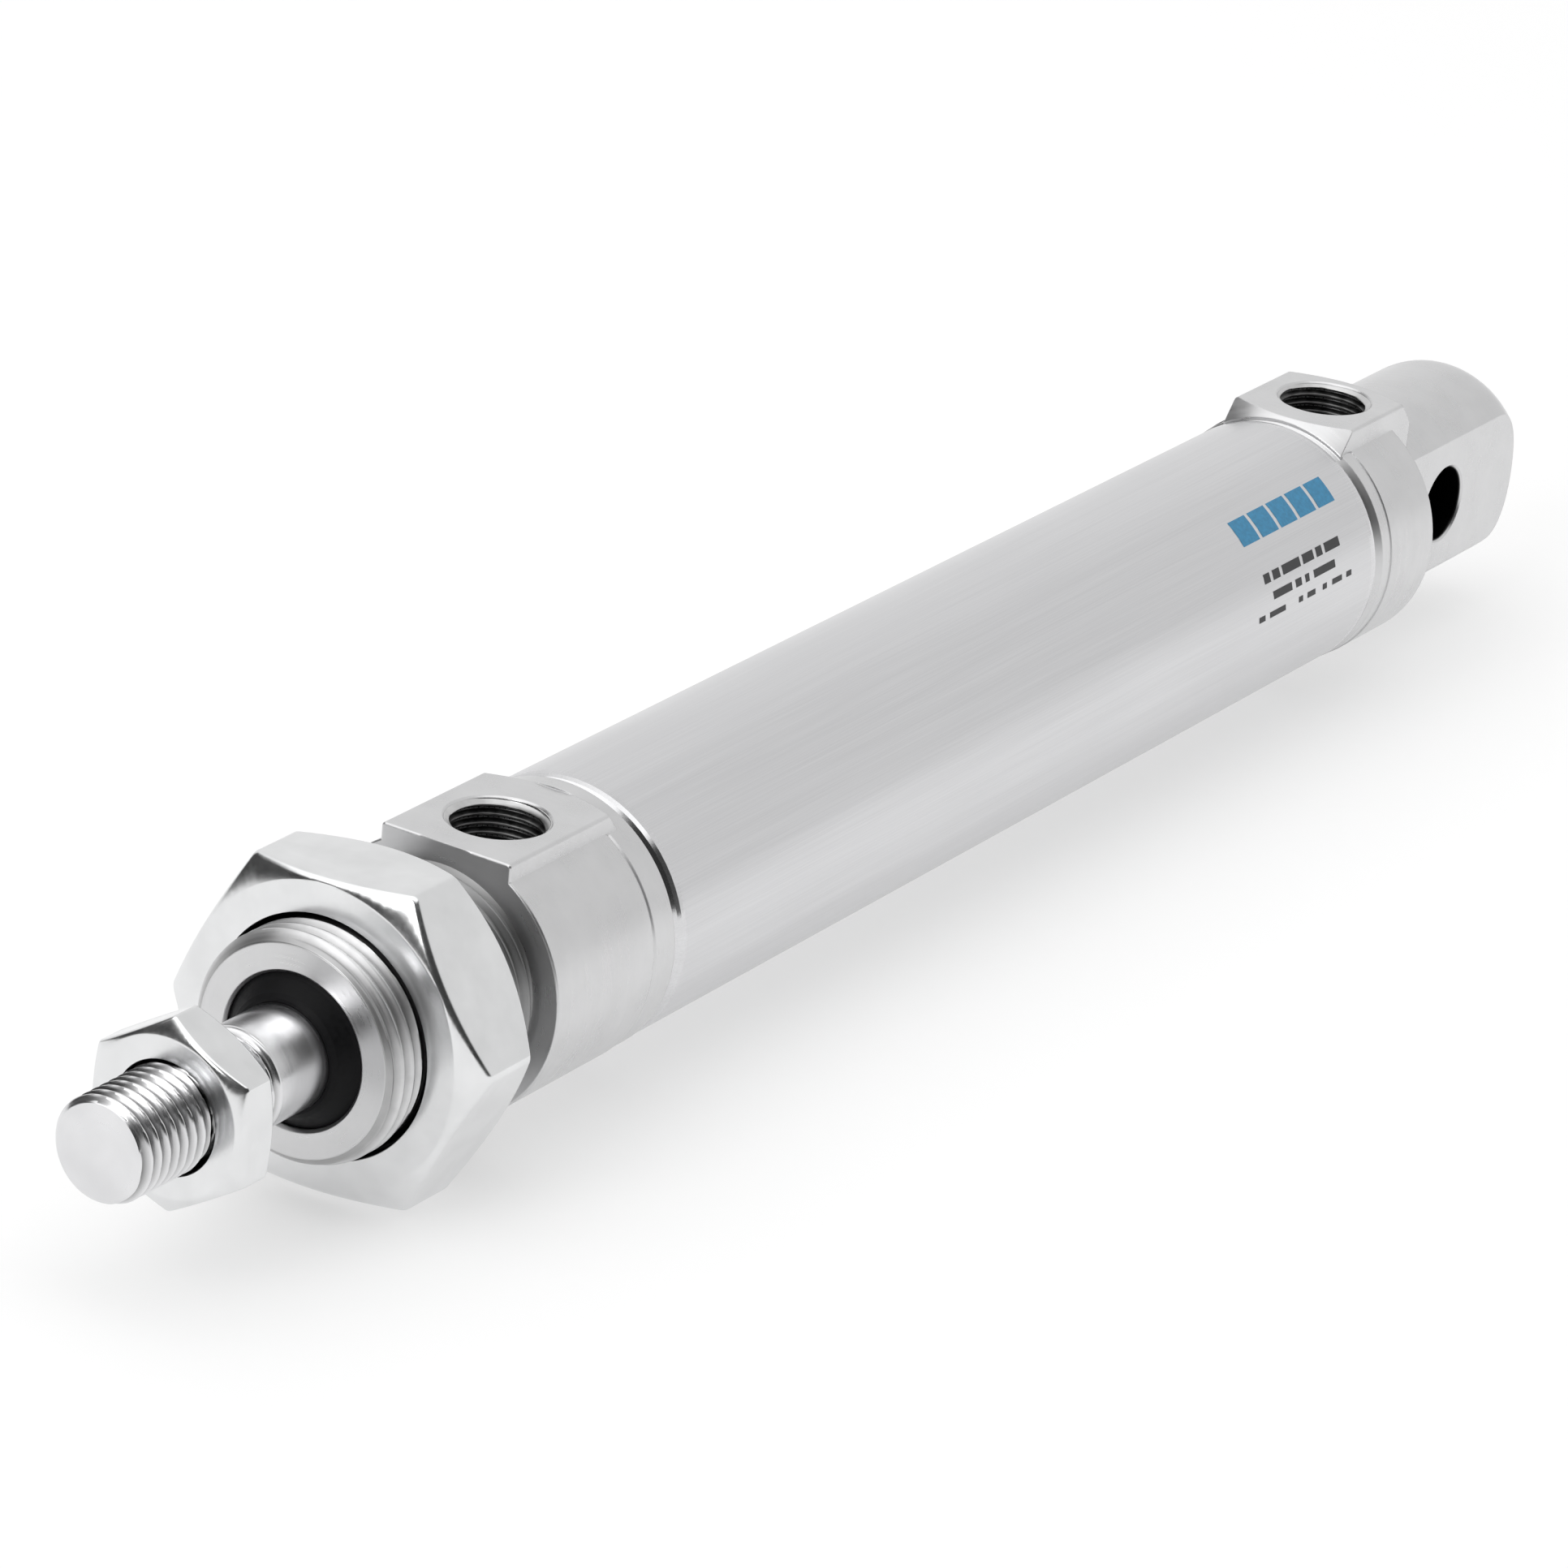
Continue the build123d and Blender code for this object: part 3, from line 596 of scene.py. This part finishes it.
TUBE, ROD = tube_material(), rod_material()
CAP = cap_material("turned_aluminium")
END_CAP = cap_material("turned_aluminium_with_dark_eye", EYE_RADIUS)
COLLAR_NUT_METAL = nut_material("bright_zinc_plate", COLLAR_NUT_MOUTH)
ROD_NUT_METAL = nut_material("bright_zinc_plate_small", ROD_NUT_MOUTH)
COLLAR_METAL = thread_material("collar_thread_metal", *COLLAR_ROOT_SHADE)
FRONT_PORT_METAL = port_material("front_port_metal", FRONT_PORT_TOP)
REAR_PORT_METAL = port_material("rear_port_metal", REAR_PORT_TOP)
SEAL = rubber_material("black_seal_rubber", (0.004, 0.004, 0.0045), 0.5, 0.12)
O_RING = rubber_material("o_ring_rubber", (0.015, 0.015, 0.015), 0.5)
CUSHION = rubber_material("cushion_rubber", (0.03, 0.03, 0.034), 0.6)
GUIDE = rubber_material("guide_plastic", (0.07, 0.07, 0.075), 0.5)
MAGNET = rubber_material("bonded_ferrite", (0.05, 0.045, 0.045), 0.65)
BUSH = plain_metal("sintered_bronze", (0.42, 0.30, 0.17), (0.55, 0.41, 0.25), 0.4, 0.55)
PISTON = plain_metal("turned_piston", (0.62, 0.62, 0.64), (0.70, 0.70, 0.72), 0.3, 0.42)
STEEL = plain_metal("plain_steel", (0.50, 0.50, 0.50), (0.60, 0.60, 0.60), 0.3, 0.42)
BLUE = ink_material("blue_ink", (0.03, 0.22, 0.40))
BLACK = ink_material("black_ink", (0.02, 0.02, 0.022))

node_materials = {
    "barrel_tube": TUBE,
    "end_cap": END_CAP,
    "rod_bearing_bush": BUSH,
    "rod_wiper_seal": SEAL,
    "rod_seal": SEAL,
    "front_cap_o_ring": O_RING,
    "rear_cap_o_ring": O_RING,
    "front_cushion_ring": CUSHION,
    "rear_cushion_ring": CUSHION,
    "piston_guide_ring": GUIDE,
    "front_piston_seal": SEAL,
    "rear_piston_seal": SEAL,
    "piston_front_half": PISTON,
    "piston_rear_half": PISTON,
    "piston_magnet": MAGNET,
    "piston_o_ring": O_RING,
    "piston_washer": STEEL,
    "piston_nut": STEEL,
}
for node, material in node_materials.items():
    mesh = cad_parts[node].data
    mesh.materials.clear()
    mesh.materials.append(material)

bearing_cap(CAP)
threaded_collar(COLLAR_METAL)
hexagonal_nut(
    "collar_nut_hexagon", "collar_nut", "barrel", COLLAR_NUT, COLLAR_NUT_CHAMFERS, COLLAR_NUT_METAL
)
piston_rod(ROD)
hexagonal_nut("rod_nut_hexagon", "rod_nut", "rod", ROD_NUT, ROD_NUT_CHAMFERS, ROD_NUT_METAL)
port_thread("front_port_thread", FRONT_PORT_X, FRONT_PORT_TOP, FRONT_PORT_LENGTH, FRONT_PORT_METAL)
port_thread("rear_port_thread", REAR_PORT_X, REAR_PORT_TOP, REAR_PORT_LENGTH, REAR_PORT_METAL)

# A generic printed mark on the tube: a plain blue bar in five blocks, over rows of short dashes
TUBE_RADIUS = 13.1 * MM
INK = 0.02 * MM
ink_patch(
    "print_blue_bar",
    [((29.0 + 3.9 * k) * MM, (32.3 + 3.9 * k) * MM, 42.0, 55.0) for k in range(5)],
    TUBE_RADIUS, INK, BLUE,
)
dash_rows = (
    (27.2, 22.8, ((31.2, 3.0), (34.8, 1.2), (36.6, 2.2), (39.4, 3.6), (43.6, 1.4), (45.6, 1.2))),
    (18.2, 14.6, ((32.8, 4.4), (38.2, 0.8), (39.8, 1.2), (41.8, 3.8))),
    (
        9.8, 7.2,
        ((29.6, 1.0), (31.6, 2.0), (34.8, 0.8), (37.2, 1.6), (39.8, 0.8), (43.4, 3.2), (47.6, 1.2)),
    ),
)
ink_patch(
    "print_dash_rows",
    [(start * MM, (start + length) * MM, low, high)
     for high, low, dashes in dash_rows for start, length in dashes],
    TUBE_RADIUS, INK, BLACK,
)

# Stage, light and camera

FLOOR_Z = cad_low.z - 0.05 * MM
FLOOR_HALF = 12.0


def stage_floor():
    """A pale floor, lit from below a little as a light table is, so that shadows stay faint."""
    m = Material("pale_floor")
    cloud = m.noise(m.place, scale=3, detail=2)
    colour = m.colours(m.spread(cloud, 0, 1), (0.53, 0.53, 0.53), (0.56, 0.56, 0.56))
    material = m.surface(colour, m.spread(cloud, 0.75, 0.85), metallic=0.0)
    m.shader.inputs["Emission Color"].default_value = (1, 1, 1, 1)
    m.shader.inputs["Emission Strength"].default_value = 0.50
    m.shader.inputs["Specular IOR Level"].default_value = 0.1
    mesh = bpy.data.meshes.new("floor")
    signs = ((-1, -1), (1, -1), (1, 1), (-1, 1))
    corners = [(a * FLOOR_HALF, b * FLOOR_HALF, FLOOR_Z) for a, b in signs]
    mesh.from_pydata(corners, [], [(0, 1, 2, 3)])
    mesh.materials.append(material)
    floor = bpy.data.objects.new("floor", mesh)
    bpy.context.scene.collection.objects.link(floor)


AIM = Vector((117.9, 0.0, 1.1)) * MM
AZIMUTH, ELEVATION, ROLL = 120.32, 22.57, 5.76
DISTANCE = 786.7 * MM
LENS = 190.25


def direction(azimuth, elevation):
    """The way from the object towards a place round it, by the angles that the views use."""
    a, e = math.radians(azimuth), math.radians(elevation)
    return Vector((math.sin(a) * math.cos(e), -math.cos(a) * math.cos(e), math.sin(e)))


def add_camera():
    data = bpy.data.cameras.new("camera")
    data.lens = LENS
    data.clip_start, data.clip_end = 0.01, 20.0
    camera = bpy.data.objects.new("camera", data)
    bpy.context.scene.collection.objects.link(camera)
    back = direction(AZIMUTH, ELEVATION)
    camera.location = AIM + back * DISTANCE
    camera.rotation_mode = "QUATERNION"
    level = (-back).to_track_quat("-Z", "Y")
    camera.rotation_quaternion = level @ Quaternion((0, 0, 1), math.radians(ROLL))
    bpy.context.scene.camera = camera


def add_light(name, azimuth, elevation, distance, size, power):
    data = bpy.data.lights.new(name, "AREA")
    data.shape = "RECTANGLE"
    data.size, data.size_y = size
    data.energy = power
    light = bpy.data.objects.new(name, data)
    bpy.context.scene.collection.objects.link(light)
    way = direction(azimuth, elevation)
    light.location = AIM + way * distance
    light.rotation_mode = "QUATERNION"
    light.rotation_quaternion = (-way).to_track_quat("-Z", "Y")


def add_world():
    """An even, pale studio behind. In front, a bright light overhead and to the left, and the
    dark of the room below it, on the right and at the far left."""
    world = bpy.data.worlds.new("studio")
    world.use_nodes = True
    bpy.context.scene.world = world
    n = Nodes(world.node_tree, "Generated")
    x, y, z = n.axes()
    behind = n.spread(y, 0.90, 0.82, -0.45, 0.1, smooth=True)
    height = n.math("ADD", z, n.math("MULTIPLY", y, 0.12))
    above = n.spread(height, 0, 1, 0.38, 0.49, smooth=True)
    overhead = n.spread(z, 0, 1, 0.72, 0.88, smooth=True)
    left = n.math(
        "MULTIPLY",
        n.spread(y, 1, 0, -0.02, 0.20, smooth=True),
        n.spread(y, 0, 1, -0.80, -0.68, smooth=True),
    )
    lit = n.math("MULTIPLY", above, n.math("MAXIMUM", overhead, left))
    ahead = n.spread(lit, 0.04, 1.5, 0.0, 1.0)
    light = n.spread(x, behind, ahead, -0.30, 0.05, smooth=True)
    background = world.node_tree.nodes["Background"]
    n.put(background.inputs["Color"], light)
    background.inputs["Strength"].default_value = 1.0


stage_floor()
add_camera()
add_world()
add_light("front_softbox", 88, 30, 1.1, (0.5, 0.35), 2.2)
bpy.context.scene.view_settings.view_transform = "Standard"
